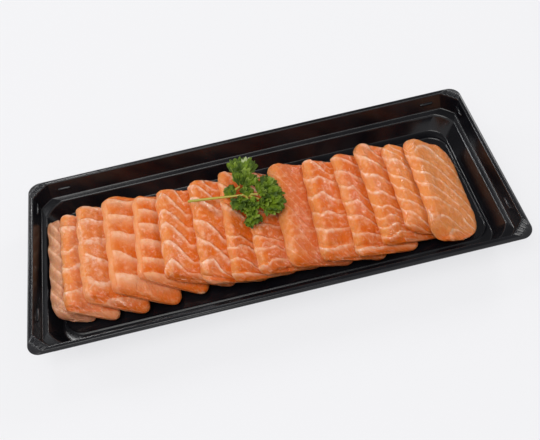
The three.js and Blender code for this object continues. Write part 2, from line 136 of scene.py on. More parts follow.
# Lines of fat in each slice: for each line its y where it crosses these places, which are counted
# over the surface from the top left corner, to the left negative and to the right positive.
PLACES = (-5, -1.5, 1, 4, 7.5, 11, 15, 19, 24)
FAT_LINES = [
    [
        (30, 24, 19, 14), (21, 16, 12, 8), (12.5, 7.5, 3.5, 0), (4, -1, -4.5, -8),
        (-4, -9, -12.5, -16), (-11, -16, -19, -22), (-19, -23, -26, -29),
    ],
    [
        (27, 27, 26, 25.5, 25), (20, 19, 18, 18.5, 18), (6, 5, 3.5, 7, 8),
        (-1.5, -4.5, -5.5, -3, -1.5), (-16.5, -17, -17.5, -16.5, -14.5),
        (-24, -25.5, -26.5, -27, -27),
    ],
    [
        (28, 28, 28, 27.5, 27, 27), (18.5, 18.5, 18.5, 19, 18.5, 18), (6.5, 6.5, 6.5, 7.5, 8, 8),
        (-1, -1, -1.5, -3, -4.5, -5.5), (-13, -13, -14, -16, -16.5, -15),
        (-24, -24.5, -25.5, -26, -24.5, -24),
    ],
    [
        (27.5, 27.5, 27.5, 27.5, 27, 26.5), (16.8, 16.8, 16.8, 16.8, 16.6, 16.3),
        (7, 7, 7, 7, 6.6, 6), (-3.3, -3.3, -3.3, -4, -6, -8), (-15, -15, -15, -15.5, -16, -16.5),
        (-29, -29, -29, -30, -31, -32),
    ],
    [
        (24.5, 24.5, 24.5, 24.5, 24, 24), (16.8, 16.8, 16.8, 16.8, 16.3, 16),
        (8.6, 8.6, 8.8, 8.6, 8.2, 8), (-0.5, -0.3, -0.3, -0.5, -1, -1.3),
        (-10.5, -10.2, -10.2, -10.5, -10.5, -10.8), (-18.5, -18.2, -18, -18, -18.5, -19),
    ],
    [
        (18, 22, 22.5, 19, 14.7, 9), (8.5, 12, 12, 9, 5.8, 1.5), (1, 4.5, 5, 1.5, -2.3, -8),
        (-9, -5, -5.3, -8, -12.4, -17), (-19, -16, -15, -17.8, -22, -22.5),
        (-27, -26, -25, -25, -27, -29),
    ],
    [
        (25, 24, 23, 20, 17, 14), (17, 16, 15, 13, 11, 8), (6, 3.5, 2, 0.3, -3.5, -9),
        (-3, -7, -9.3, -11, -14, -18), (-17, -19.5, -18.8, -18.5, -24, -31),
        (-25, -27, -28, -28, -30, -36),
    ],
    [
        (24, 21, 18, 15, 12, 9), (12, 9, 6, 4, 1, -2), (-6, -9.5, -11, -10.3, -12.5, -15),
        (-14, -15.5, -16.5, -15, -16, -19), (-20, -21, -21, -22, -24, -27),
        (-26, -27, -28, -28, -28, -29),
    ],
    [
        (18, 16, 14, 12, 10, 8), (6, 3, 1, 0, -1, -2), (-4, -6, -8, -7, -7, -8),
        (-12, -13, -14, -15.5, -15.5, -17), (-18, -19, -20, -20, -19, -21),
        (-26, -27, -27.5, -25, -24.5, -25),
    ],
    [
        (22, 18, 15, 11, 6, 1), (14, 10, 7, 3, -2, -7), (6, 2, -1, -5, -10, -15),
        (-2, -6, -9, -13, -18, -23), (-12, -16, -19, -23, -28, -33),
        (-19, -23, -26, -30, -34, -38),
    ],
    [
        (24, 23, 22, 20, 17, 13), (14, 11, 10, 12, 11, 9), (3, 0, 0.5, 2.7, 0.5, -2),
        (-6, -9, -11, -8.7, -9, -10.5), (-15, -17, -18.7, -18.5, -17.8, -17.5),
        (-24, -26, -27, -26.5, -25.5, -25),
    ],
    [
        (22, 21, 20, 19, 17, 15), (14, 12, 10.5, 10.3, 8.8, 7), (6, 3.5, 1.5, 2.8, -1.5, -6),
        (-4, -7, -7, -5.3, -9.5, -14), (-12, -14.5, -14.5, -14.5, -17, -20),
        (-20, -22.5, -23, -23, -23.5, -24), (-28, -29, -29, -29, -29, -29),
    ],
    [
        (24, 18, 16, 14.8, 12.5, 9), (13, 7, 5.8, 5, 4.2, 1.5), (2, -3.5, -5, -4, -5.7, -8),
        (-7, -12, -13.5, -12, -13, -15), (-15, -19, -19, -17.5, -17.5, -19),
        (-20, -23, -23.5, -22, -21, -22),
    ],
    [
        (24, 19, 16, 15, 13, 10), (17, 12.5, 12, 12, 8.5, 5), (9, 2.5, 0.5, 0, -1.5, -4),
        (2, -4.5, -6, -6.8, -8.5, -11), (-5.5, -11.5, -13, -13, -15, -17),
        (-13, -18, -19, -20.5, -23, -26), (-20, -24, -24.5, -26, -29, -32),
    ],
    [
        (20, 13, 13, 17.5, 20, 19.3, 16, 10.5, 0), (15, 11.5, 10, 9, 8.6, 6.8, 2, -2.8, -9),
        (8.5, 2.5, 0.7, 0.2, -1, -1.5, -6, -11, -18),
        (1, -5, -6.2, -6.5, -7.8, -9.7, -14, -19.5, -27),
        (-6.5, -12.7, -13.6, -13.5, -14.8, -16.4, -20, -25.5, -34),
        (-13.5, -20.5, -22, -22, -22.8, -24.5, -29, -34, -40),
        (-34, -33, -31, -28.5, -27.3, -28, -32, -37, -43),
    ],
]
# width: of a line. fade: how far the pale flesh beside it reaches. pale: how strong a line is.
# soft: how strong the pale flesh beside it is, partly its own tone and partly a painted highlight
# on each flake's lit crest. deep: how strong the painted shade is at the right, towards the next
# slice.
# bulge: how far the flesh stands up between the lines. mottle: how patchy the flesh is. wet: how
# many glints it has. tint: which other flesh it is of, and how much of it. band: True where the
# left side is plain, without lines and lighter with painted light.
FAT_LOOKS = ("width", "fade", "pale", "soft", "deep_and_shade", "bulge", "mottle", "wet", "tint", "band")
FAT_ROWS = [
    (2.4, 4, 0.6, 0.5, 0.2, 0.4, 0.35, 0.6, ("grey", 0.62), False),
    (2.6, 4.5, 0.75, 0.5, 0.35, 0.45, 0.6, 0.8, ("pink", 0.2), False),
    (3.2, 5, 0.8, 0.5, 0.35, 0.5, 0.65, 0.9, ("red", 0.1), True),
    (3.4, 9, 0.45, 0.85, 0.7, 0.35, 0.2, 0.4, ("red", 0), True),
    (3.0, 7, 0.4, 0.85, 0.9, 0.35, 0.25, 0.4, ("red", 0), True),
    (2.8, 4.5, 0.75, 0.45, 0.5, 0.9, 0.5, 0.9, ("red", 0.15), False),
    (3.0, 5, 0.8, 0.5, 0.7, 1.1, 0.5, 1.0, ("red", 0), False),
    (2.2, 4, 0.6, 0.45, 1.0, 1.1, 0.4, 0.8, ("red", 0.1), False),
    (1.8, 3.5, 0.55, 0.4, 0.8, 0.9, 0.7, 0.9, ("red", 0.35), False),
    (1.0, 3, 0.3, 0.2, 0.45, 0.25, 0.35, 0.7, ("red", 0.7), False),
    (2.2, 4, 0.65, 0.45, 0.75, 1.1, 0.35, 1.0, ("red", 0.15), False),
    (2.0, 3.5, 0.6, 0.4, 0.85, 1.0, 0.35, 1.2, ("red", 0.2), False),
    (2.0, 3.5, 0.75, 0.4, 0.45, 0.5, 0.4, 1.1, ("red", 0.1), False),
    (1.9, 3, 0.8, 0.35, 0.1, 0.35, 0.3, 0.7, ("red", 0), False),
    (1.9, 3, 0.75, 0.35, 0.0, 0.2, 0.3, 0.5, ("tan", 0.3), False),
]
FAT = [{"lines": lines, **dict(zip(FAT_LOOKS, row))} for lines, row in zip(FAT_LINES, FAT_ROWS)]

RELIEF = {
    "uneven": 0.4,  # slow unevenness of the cut faces
    "uneven_size": 9,
    "lumps": 0.32,  # quicker unevenness
    "lumps_size": 2.6,
    "wander": 0.6,  # how far a line of fat strays
    "wander_size": 5,
    "crown": 0.8,  # how far the face falls away towards the next slice
    "covered": 13,  # past this far over the top the next slice covers the face
    "covered_over": 4,  # the relief fades away over this before it
    "foot": 1.5,  # and over this above the underside
}
# A flake's height over its width, in shares: it rises, slopes down and drops to the next line.
FLAKE = {"ahead": 0.1, "rise": 0.14, "slope": 0.6, "bend": 1.5, "drop_from": 0.85}

LEAF = {
    "thickness": 0.3,
    "rings": 10,
    "spokes": 26,
    "root": 0.12,
    "layers": (  # lobes over the fan, where along it they start and end, their lift in degrees
        (5, 0.34, 1.0, 2),
        (4, 0.04, 0.6, 9),
        (3, 0.0, 0.5, 26),
        (2, 0.34, 0.9, 18),
    ),
    "curl": 0.8,  # how far a lobe's edge stands up and down
    "wave": 0.7,  # shares of the curl: slow waves, quick ripples near the edge, sides that hang
    "ripple": 0.5,
    "cup": 0.8,
    "round": 0.8,  # how round a lobe's end is
    "tooth": 0.2,
    "teeth": 2,
    "turned": 22,  # a lobe leans to its side and is lifted by up to these degrees
    "lifted": 7,
    "shorter": 0.26,  # how much shorter the outermost lobes are
    "lobe_half": (13, 0.5),  # half of a lobe's own fan: degrees, and a share of the leaflet's
    "fan_half": (-9, 0.9),  # half of the fan that the lobes stand in, given likewise
}
# at, heading, rise, size, spread, frill, phase, the same as in the solid
LEAFLETS = [
    ((-8.1, 13.5, 19.3), 83, 14, 15.6, 25, 1.4, 0.4),
    ((-6.8, 13, 19.5), 63, 16, 15.4, 26, 1.4, 2.1),
    ((-6.5, 12.4, 19.4), 27, 14, 8.6, 42, 1.0, 0.9),
    ((-10.8, 9.7, 19), 126, 9, 6, 58, 0.8, 1.0),
    ((-5.9, 7.1, 19.3), 72, 17, 5.2, 58, 1.0, 0.2),
    ((-6.2, 6.5, 19.2), 220, 8, 8.4, 64, 1.1, 1.6),
    ((-0.5, 6.7, 19.7), 34, 13, 10.6, 50, 1.4, 2.6),
    ((-0.2, 6.2, 19.5), -21, 13, 11.8, 36, 1.2, 0.9),
    ((-0.6, 4.1, 19.3), -49, 10, 14, 40, 1.3, 1.9),
    ((-5, 5.5, 19.2), -86, 7, 9, 60, 1.1, 2.4),
    ((-5.6, 0.6, 19.1), -86, 6, 11.3, 36, 1.1, 3.0),
]
PALE_LOBE = 2.11  # the number of the one lobe that shows its pale underside
LEAF_HEIGHTS = (18.4, 23.8)  # the leaves keep between these heights
STEM_RADIUS = 0.62
STEMS = [
    [(-32.2, 12.4, 18.8), (-21.4, 10.9, 18.9), (-11.5, 9.2, 19.1), (-5.4, 8.2, 19.3)],
    [(-15, 10.1, 18.9), (-11.2, 12.1, 19), (-7.6, 13.7, 19.3)],
    [(-6.2, 8.4, 19.3), (-3.4, 7.6, 19.5), (-0.3, 6.6, 19.7)],
    [(-6, 8.2, 19.3), (-3, 6, 19.3), (-0.5, 4, 19.3)],
    [(-6.4, 8.4, 19.3), (-5.5, 5.2, 19.2), (-5.8, 0.3, 19.2)],
]


# ---- Studio ---------------------------------------------------------------------------------

# Where each light shines from, its distance and its size in metres, its power and its colour.
LIGHTS = {
    "key": ((-0.25, -0.3, 0.92), 1.1, (0.7, 0.7), 6.0, (1.0, 0.99, 0.97)),
    "window": ((-0.77, 0.53, 0.34), 1.2, (0.16, 0.45), 2.4, (0.92, 0.96, 1.0)),
    "side": ((0.63, 0.58, 0.48), 1.2, (0.3, 0.3), 3.0, (1.0, 1.0, 1.0)),
    "spark": ((-0.28, 0.6, 0.75), 1.2, (0.12, 0.12), 1.1, (1.0, 1.0, 1.0)),
    "strip": ((-0.116, 0.5595, 0.8206), 0.482, (0.06, 0.17), 0.06, (0.93, 0.96, 1.0)),
}

# range: the cosine at which the dark patch begins and that at which it is full, then the sky's
# strength outside it and in it.
SKY = {
    "colour": (0.98, 0.98, 1.0),
    "dark_toward": (0.02, 0.49, 0.87),
    "range": (0.7, 0.9, 0.6, 0.16),
}
FLOOR = {"half": 3000, "colour": (0.18, 0.18, 0.183), "glow": 0.722}

# The camera stands where the photo's four rim corners put it. Its rows are its right, its down
# and its forward direction.
CAMERA = {
    "place": (-6.711, -181.591, 260.133),
    "right": (0.97288894, -0.20282301, -0.11113031),
    "down": (-0.22946685, -0.78661424, -0.5732216),
    "forward": (0.02884584, 0.58318167, -0.81182945),
    "lens": 45.0,
}


# ---- Meshes ---------------------------------------------------------------------------------

def new_object(name, points, faces):
    """A smooth mesh object from points in millimetres."""
    mesh = bpy.data.meshes.new(name)
    mesh.from_pydata((np.asarray(points) * MM).tolist(), [], faces)
    mesh.polygons.foreach_set("use_smooth", np.ones(len(mesh.polygons), bool))
    mesh.update()
    thing = bpy.data.objects.new(name, mesh)
    bpy.context.scene.collection.objects.link(thing)
    return thing


def add_attribute(thing, name, vectors):
    """Stores a vector at each point, which the materials read."""
    layer = thing.data.attributes.new(name, "FLOAT_VECTOR", "POINT")
    layer.data.foreach_set("vector", np.asarray(vectors, dtype=np.float32).ravel())


def grid_faces(rows, columns, closed):
    """Quads between rows of points. closed joins the last column to the first."""
    faces = []
    for i in range(rows - 1):
        here, below = i * columns, (i + 1) * columns
        for j in range(columns if closed else columns - 1):
            k = (j + 1) % columns
            faces.append((here + j, below + j, below + k, here + k))
    return faces


def grid_normals(grid):
    """Unit normals of a grid of points whose columns close on themselves."""
    down = np.gradient(grid, axis=0)
    round_ = np.roll(grid, -1, axis=1) - np.roll(grid, 1, axis=1)
    normals = np.cross(down, round_)
    return normals / np.maximum(np.linalg.norm(normals, axis=2, keepdims=True), 1e-9)


def smooth_noise(points, size, seed):
    """Noise from -1 to 1 at each point, with bumps of about the given size."""
    offset = Vector((seed * 17.3, seed * 5.1, seed * 9.7))
    return np.array([noise.noise(Vector(p) / size + offset) for p in points.tolist()])


# ---- Tray -----------------------------------------------------------------------------------

def tray_ring(inset, height, leg, round_, side, rib):
    """One level outline of the tray, from its middle line's right end round to the left."""
    half_length = TRAY["length"] / 2 - inset
    half_width = TRAY["width"] / 2 - inset - side
    share = np.linspace(0, 1, CORNER["steps"] + 1)
    angle = share * math.pi / 2
    first = leg * ((1 - round_) * share + round_ * (1 - np.cos(angle)))
    second = leg * ((1 - round_) * (1 - share) + round_ * (1 - np.sin(angle)))
    wave = (1 - np.cos(2 * math.pi * CORNER["ribs"] * share)) / 2
    heights = height + rib * wave ** 1.5
    points = []
    for corner in range(4):
        sign_x = 1 if corner in (0, 3) else -1
        sign_y = 1 if corner < 2 else -1
        cut_x, cut_y = (first, second) if corner % 2 == 0 else (second, first)
        x = sign_x * (half_length - cut_x)
        y = sign_y * (half_width - cut_y)
        points.append(np.stack([x, y, heights], axis=1))
    return np.concatenate(points)


def rounded(profile, radius, steps):
    """The profile with each inner corner replaced by a short curve."""
    profile = np.asarray(profile, float)
    result = [profile[0]]
    for before, here, after in zip(profile, profile[1:], profile[2:]):
        length_in = np.linalg.norm((here - before)[:2])
        length_out = np.linalg.norm((after - here)[:2])
        start = here + (before - here) * min(0.45, radius / length_in)
        end = here + (after - here) * min(0.45, radius / length_out)
        for t in np.linspace(0, 1, steps):
            result.append((1 - t) ** 2 * start + 2 * t * (1 - t) * here + t * t * end)
    result.append(profile[-1])
    return result


def tray_profile():
    """The tray's wall from the middle of the floor, over the rim, to the underside."""
    wall, height, soft, ledge_bevel = (TRAY[k] for k in ("wall", "height", "soft", "ledge_bevel"))
    inner_rim = TRAY["rim_inset"] + TRAY["rim_width"]
    ledge_end = TRAY["ledge_inset"] + TRAY["ledge_width"]
    ledge_low = TRAY["ledge_height"] - TRAY["ledge_slope"]
    lip = height - TRAY["lip_drop"]
    floor = (CORNER["floor_round"], 0, 0)
    lower = (CORNER["lower_round"], TRAY["ledge_side"], 0)
    upper = (CORNER["upper_round"], TRAY["ledge_side"], 0)
    rim = (CORNER["rim_round"], 0, 0)
    ribbed = (CORNER["rim_round"], 0, CORNER["rib_height"])
    edge = (CORNER["lip_round"], 0, 0)

    def bead(across, up):
        width = BEAD["width"]
        inset = BEAD["inset"] + across * width
        leg = CORNER["bead_leg"] - across * width
        return inset, wall + up * BEAD["height"], leg, CORNER["floor_round"], BEAD["side"], 0

    return [
        bead(3, 0),
        bead(1, 0),
        bead(0.7, 1),
        bead(0.3, 1),
        bead(0, 0),
        (TRAY["floor_inset"], wall + soft, CORNER["floor_leg"], *floor),
        (ledge_end + ledge_bevel / 2, ledge_low - ledge_bevel, CORNER["lower_wall_leg"], *lower),
        (ledge_end + soft / 2, ledge_low - soft, CORNER["lower_wall_leg"], *lower),
        (ledge_end - ledge_bevel / 2, ledge_low, CORNER["lower_wall_leg"], *lower),
        (TRAY["ledge_inset"], TRAY["ledge_height"], CORNER["ledge_leg"], *upper),
        (inner_rim + soft / 2, height - 2 * soft, CORNER["inner_rim_leg"], *rim),
        (inner_rim - soft, height, CORNER["inner_rim_leg"], *ribbed),
        (TRAY["rim_inset"] + soft, height, CORNER["rim_leg"], *ribbed),
        (TRAY["rim_inset"], height - 1.5 * soft, CORNER["rim_leg"], *rim),
        (soft / 2, lip + soft, CORNER["lip_leg"], *edge),
        (0, lip - soft / 2, CORNER["lip_leg"], *edge),
        (soft, lip - wall, CORNER["lip_leg"], *edge),
        (TRAY["rim_inset"] + wall, lip - wall / 2, CORNER["rim_leg"], *rim),
        (inner_rim - wall, lip - wall / 2, CORNER["inner_rim_leg"], *rim),
        (TRAY["ledge_inset"] - wall, TRAY["ledge_height"] - wall / 2, CORNER["ledge_leg"], *upper),
        (ledge_end - (ledge_bevel + wall) / 2, ledge_low - wall, CORNER["lower_wall_leg"], *lower),
        (ledge_end - wall / 2, ledge_low - 2 * wall, CORNER["lower_wall_leg"], *lower),
        (TRAY["floor_inset"] - wall, TRAY["bevel"], CORNER["floor_leg"], *floor),
        (TRAY["floor_inset"] - wall + TRAY["bevel"], 0, CORNER["floor_leg"], *floor),
        (TRAY["floor_inset"] + 2 * TRAY["bevel"], 0, CORNER["floor_leg"], *floor),
    ]


def lug_mesh(x, y, along_x):
    """Points and faces of one snap bump, a capsule half sunk in the wall."""
    half = LUG["length"] / 2 - LUG["radius"]
    rows, columns = 17, 16
    points = []
    for latitude in np.linspace(-math.pi / 2, math.pi / 2, rows):
        shift = half if latitude > 0 else -half if latitude < 0 else 0
        ring = LUG["radius"] * math.cos(latitude)
        along = shift + LUG["radius"] * math.sin(latitude)
        for angle in np.arange(columns) * 2 * math.pi / columns:
            side, up = ring * math.cos(angle), ring * math.sin(angle)
            if along_x:
                points.append((x + along, y + side, LUG["height"] + up))
            else:
                points.append((x + side, y + along, LUG["height"] + up))
    return points, grid_faces(rows, columns, True)


def make_tray():
    """The whole tray as one piece with soft edges."""
    profile = rounded(tray_profile(), TRAY["edge"], TRAY["edge_steps"])
    rings = [tray_ring(*parameters) for parameters in profile]
    count = len(rings[0])
    points = np.concatenate(rings).tolist()
    faces = grid_faces(len(rings), count, True)
    faces.append(tuple(range(count)))
    faces.append(tuple(reversed(range((len(rings) - 1) * count, len(rings) * count))))
    inner_rim = TRAY["rim_inset"] + TRAY["rim_width"]
    down = (TRAY["height"] - LUG["height"]) / (TRAY["height"] - TRAY["ledge_height"])
    end_x = TRAY["length"] / 2 - (inner_rim + (TRAY["ledge_inset"] - inner_rim) * down)
    side_foot = TRAY["ledge_inset"] + TRAY["ledge_side"]
    side_y = TRAY["width"] / 2 - (inner_rim + (side_foot - inner_rim) * down)
    places = [(side * end_x, y, False) for side in (-1, 1) for y in LUG["end_wall_y"]]
    places += [(sx * LUG["side_wall_x"], sy * side_y, True) for sx in (-1, 1) for sy in (-1, 1)]
    for place in places:
        lug_points, lug_faces = lug_mesh(*place)
        base = len(points)
        points += lug_points
        faces += [tuple(base + v for v in face) for face in lug_faces]
    thing = new_object("tray_shell", points, faces)
    for polygon in thing.data.polygons:
        if polygon.loop_total > 4:
            polygon.use_smooth = False
    return thing


# ---- Salmon ---------------------------------------------------------------------------------

def sheet_at(index, y):
    """The sheet under a slice at y: left edge, height there and slope."""
    left, yaw, tilt, rest = SLICES[min(index, len(SLICES) - 1)][:4]
    along = (y - HEAP["middle"]) / SLICE["half_length"]
    bow = SLICE["bow"] * math.sin(2.3 * index)
    edge = left + y * math.tan(math.radians(yaw)) + bow * (1 - along * along)
    lift = 0 if index < len(SLICES) else SLICE["last_thickness"] / math.cos(math.radians(tilt))
    return edge, rest + lift, math.radians(tilt)


def height_on(sheet, x):
    """A sheet comes down at its slope and bends softly to run along the floor."""
    left, rest, tilt = sheet
    rise = rest - HEAP["floor"] - math.tan(tilt) * (x - left)
    return HEAP["floor"] + (rise + np.hypot(rise, HEAP["bend"])) / 2


def section_size(index, y):
    """Right end of the section at y, its width, its thickness and its clearance."""
    left, rest, tilt = sheet_at(index, y)
    over = sheet_at(index + 1, y)
    clear = GAP / 2 / math.cos(tilt)
    flat = HEAP["flat"] + HEAP["first_flat"] * math.exp(-index)
    right = left + (rest - HEAP["floor"]) / math.tan(tilt) + flat
    rise = height_on(over, left) - rest - 2 * clear
    thickness = rise * math.cos(over[2]) / math.cos(over[2] - tilt)
    width = np.hypot(right - left, rest - HEAP["floor"])
    return right, width, thickness, clear


def section_point(index, y, across, up):
    """x and z of points in the section at y, by their shares of its width and thickness."""
    under = sheet_at(index, y)
    over = sheet_at(index + 1, y)
    right, _, thickness, clear = section_size(index, y)
    left_lean = thickness * math.sin(under[2])
    right_lean = thickness * SLICE["right_lean"]
    low_x = under[0] + (right - under[0]) * across
    high_x = low_x + left_lean + (right_lean - left_lean) * across
    low = height_on(under, low_x) + clear
    high = height_on(over, high_x) - clear
    return low_x + (high_x - low_x) * up, low + (high - low) * up


# Points of a section's outline: round its right end, along the top, round its top left corner,
# round its bottom left corner and along the underside.
OUTLINE = {"right": 13, "top": 44, "left_top": 12, "left_bottom": 5, "under": 14}
OUTLINE_CORNER = OUTLINE["right"] + OUTLINE["top"] + OUTLINE["left_top"] // 3


def section_outline(width, thickness):
    """Outline of a section as shares of its width and thickness, with soft corners."""
    def size_of(reach, most, up):
        return min(reach, width * most) / width, up

    def arc(centre_across, centre_up, reach, start, end, steps):
        angle = np.radians(np.linspace(start, end, steps))
        across = centre_across + reach[0] * np.cos(angle)
        return np.stack([across, centre_up + reach[1] * np.sin(angle)], 1)

    def line(start, end, steps):
        return np.linspace(start, end, steps + 2)[1:-1]

    left_top = size_of(*EDGE["left_top"])
    left_bottom = size_of(*EDGE["left_bottom"])
    right = size_of(*EDGE["right"])
    pieces = [
        arc(1 - right[0], 0.5, right, -90, 90, OUTLINE["right"]),
        line((1 - right[0], 1), (left_top[0], 1), OUTLINE["top"]),
        arc(left_top[0], 1 - left_top[1], left_top, 90, 180, OUTLINE["left_top"]),
        arc(left_bottom[0], left_bottom[1], left_bottom, 180, 270, OUTLINE["left_bottom"]),
        line((left_bottom[0], 0), (1 - right[0], 0), OUTLINE["under"]),
    ]
    return np.concatenate(pieces)


def corner_cut(radius, from_end):
    """How far a round corner has cut in, at a distance from the end."""
    if from_end >= radius:
        return 0
    return radius - math.sqrt(max(0, radius * radius - (radius - from_end) ** 2))


def smoothstep(value, start, end):
    """0 before start, 1 after end, smooth between."""
    t = np.clip((value - start) / (end - start), 0, 1)
    return t * t * (3 - 2 * t)


def drooped(x, y, z):
    """The heap is lower towards the slices' near and far ends."""
    past = np.maximum(0, np.abs(y - HEAP["middle"]) - HEAP["level"]) / HEAP["droop_span"]
    hang = smoothstep(x, HANG["from"], HANG["from"] + HANG["over"])
    hang = hang * smoothstep(-y, HANG["start"], HANG["start"] + HANG["reach"])
    share = 1 - np.minimum(HEAP["most_droop"], HEAP["droop"] * past * past) - HANG["droop"] * hang
    return HEAP["floor"] + (z - HEAP["floor"]) * share


def fat_phase(index, over, along):
    """Whole numbers fall on the lines of fat, counted from the far end."""
    lines = FAT[index]["lines"]
    crossings = [np.interp(over, PLACES[:len(line)], line) for line in lines]
    phase = (crossings[0] - along) / (crossings[0] - crossings[1])
    for k in range(1, len(lines)):
        gap = crossings[k - 1] - crossings[k]
        if k + 1 < len(lines):
            gap = crossings[k] - crossings[k + 1]
        phase = np.where(along < crossings[k], k + (crossings[k] - along) / gap, phase)
    return phase


def flake_height(phase):
    """Height of the flesh between two lines of fat: a line runs just past its steep far side."""
    share = phase + FLAKE["ahead"] - np.floor(phase + FLAKE["ahead"])
    drop = smoothstep(share, FLAKE["drop_from"], 1)
    fall = 1 - FLAKE["slope"] * share ** FLAKE["bend"] - (1 - FLAKE["slope"]) * drop
    return smoothstep(share, 0, FLAKE["rise"]) * fall


def slice_grid(index):
    """Rings of points over a slice, and for each point its place in the flesh."""
    _, _, _, _, (near, far), slants, turns = SLICES[index]
    rings, places = [], []
    for share in (1 - np.cos(np.linspace(0, math.pi, SLICE["stations"]))) / 2:
        y = near + (far - near) * share
        from_end = min(y - near, far - y)
        fullness = min(1, from_end / SLICE["end_round"])
        thinner = max(SLICE["end_thickness"], math.sqrt(max(0, 1 - (1 - fullness) ** 2)))
        wave = math.sin(2 * math.pi * y / SLICE["scallop_pitch"] + 1.7 * index)
        turn = max(corner_cut(turns[0], y - near), corner_cut(turns[1], far - y))
        _, width, thickness, _ = section_size(index, y)
        cut_left = (turn + SLICE["scallop"] * (1 + wave) / 2) / width
        cut_right = corner_cut(turns[2], from_end) / width
        slant = slants[0] + (slants[1] - slants[0]) * share
        outline = section_outline(width * (1 - cut_left - cut_right), thickness)
        across = cut_left + (1 - cut_right - cut_left) * outline[:, 0]
        up = 0.5 + (outline[:, 1] - 0.5) * thinner
        slanted = y + slant * across
        x, z = section_point(index, slanted, across, up)
        rings.append(np.stack([x, slanted, drooped(x, slanted, z)], axis=1))
        steps = np.hypot(np.diff(across * width), np.diff(up * thickness))
        walked = np.concatenate([[0], np.cumsum(steps)])
        places.append(np.stack([walked[OUTLINE_CORNER] - walked, slanted, up * thickness], axis=1))
    return np.array(rings), np.array(places)


def noise_on(grid, size, seed):
    """Noise at each point of a grid."""
    return smooth_noise(grid.reshape(-1, 3), size, seed).reshape(grid.shape[:2])


def make_slice(index):
    """One slice, with its flesh standing up between the lines of fat."""
    grid, places = slice_grid(index)
    rows, columns = grid.shape[:2]
    over, along, up = places[..., 0], places[..., 1], places[..., 2]
    fat = FAT[index]
    along = along + RELIEF["wander"] * noise_on(grid, RELIEF["wander_size"], index + 30)
    phase = fat_phase(index, over, along)
    shown = np.clip(up / RELIEF["foot"], 0, 1)
    if index < len(SLICES) - 1:
        shown = shown * np.clip((RELIEF["covered"] - over) / RELIEF["covered_over"], 0, 1)
    standing = flake_height(phase) - 1
    if fat["band"]:
        standing = standing * smoothstep(over, -0.8, 1.2)
    height = fat["bulge"] * standing - RELIEF["crown"] * smoothstep(over, 3, 12)
    height = height + RELIEF["uneven"] * noise_on(grid, RELIEF["uneven_size"], index)
    lumps = RELIEF["lumps"] * (0.5 + fat["mottle"])
    height = height + lumps * noise_on(grid, RELIEF["lumps_size"], index + 60)
    points = grid + grid_normals(grid) * (height * shown)[..., None]
    fat_places = np.stack([phase, shown, up], axis=-1)
    faces = grid_faces(rows, columns, True)
    all_points = [points.reshape(-1, 3)]
    all_places = [places.reshape(-1, 3)]
    all_fat = [fat_places.reshape(-1, 3)]
    base = rows * columns
    for row, first in ((0, 0), (rows - 1, rows - 1)):
        previous = first * columns
        for k in (0.75, 0.45, 0.15):
            for kept, values in ((all_points, points), (all_places, places), (all_fat, fat_places)):
                centre = values[row].mean(axis=0)
                kept.append(centre + (values[row] - centre) * k)
            for j in range(columns):
                n = (j + 1) % columns
                quad = (previous + j, previous + n, base + n, base + j)
                faces.append(quad if row == 0 else quad[::-1])
            previous = base
            base += columns
        cap = tuple(range(previous, previous + columns))
        faces.append(cap if row == 0 else cap[::-1])
    thing = new_object(f"salmon_{index + 1:02d}", np.concatenate(all_points), faces)
    add_attribute(thing, "flesh", np.concatenate(all_places))
    add_attribute(thing, "fat", np.concatenate(all_fat))
    return thing


# ---- Parsley --------------------------------------------------------------------------------

def lobe_points(size, spread, frill, phase):
    """One lobe of a leaflet along +x: rows of points from its root to its toothed edge."""
    rows = np.linspace(0, 1, LEAF["rings"] + 1)[:, None]
    turn = np.linspace(-1, 1, LEAF["spokes"] + 1)[None, :]
    out = LEAF["root"] + (1 - LEAF["root"]) * rows
    rounded_end = np.sqrt(np.maximum(0.05, 1 - LEAF["round"] * turn * turn))
    teeth = LEAF["tooth"] * np.abs(np.sin(turn * LEAF["teeth"] * math.pi + phase)) ** 0.8
    reach = size * out * (1 + (rounded_end - 1 + teeth - LEAF["tooth"] / 2) * out)
    angle = np.radians(turn * spread) * (0.55 + 0.45 * np.sqrt(out))
    wave = np.sin(turn * 4.2 + phase) * out ** 1.5
    ripple = np.sin(turn * 11 + phase * 2.3) * out ** 3
    cup = turn * turn * out
    curl = LEAF["wave"] * wave + LEAF["ripple"] * ripple - LEAF["cup"] * cup
    height = frill * LEAF["curl"] * curl
    height = height * np.ones_like(reach)
    points = np.stack([reach * np.cos(angle), reach * np.sin(angle), height], -1)
    place = np.stack([out * np.ones_like(turn), turn * np.ones_like(out), 0 * out * turn], -1)
    return points, place


def leaflet_lobes(number, at, heading, rise, size, spread, frill, phase):
    """The lobes of one leaflet, each with its place on the leaf and its number."""
    tilt = Matrix.Rotation(-math.radians(rise), 3, "Y")
    yaw = Matrix.Rotation(math.radians(heading), 3, "Z")
    halves = (LEAF["lobe_half"], LEAF["fan_half"])
    lobe_half, fan_half = (fixed + share * spread for fixed, share in halves)
    lobes = []
    for layer, (count, start, end, raised) in enumerate(LEAF["layers"]):
        for k in range(count):
            side = (k + 0.5) / count * 2 - 1
            own_phase = phase + 1.7 * k + 2.6 * layer
            shorter = 1 - LEAF["shorter"] * side * side
            reach = size * (end - start) * shorter * (0.94 + 0.08 * math.sin(3 * own_phase))
            points, place = lobe_points(reach, lobe_half, frill, own_phase)
            leaning = LEAF["turned"] * math.sin(own_phase * 1.9)
            lifting = raised + LEAF["lifted"] * math.cos(own_phase)
            lean = Matrix.Rotation(math.radians(leaning), 3, "X")
            lift = Matrix.Rotation(-math.radians(lifting), 3, "Y")
            fan = Matrix.Rotation(math.radians(side * fan_half), 3, "Z")
            root = yaw @ tilt @ fan @ Vector((start * size, 0, 0))
            turned = points @ np.array(yaw @ tilt @ fan @ lift @ lean).T
            placed = turned + np.array(at) + np.array(root)
            place[..., 2] = number + 0.37 * k + 0.5 * layer
            lobes.append((placed, place))
    return lobes


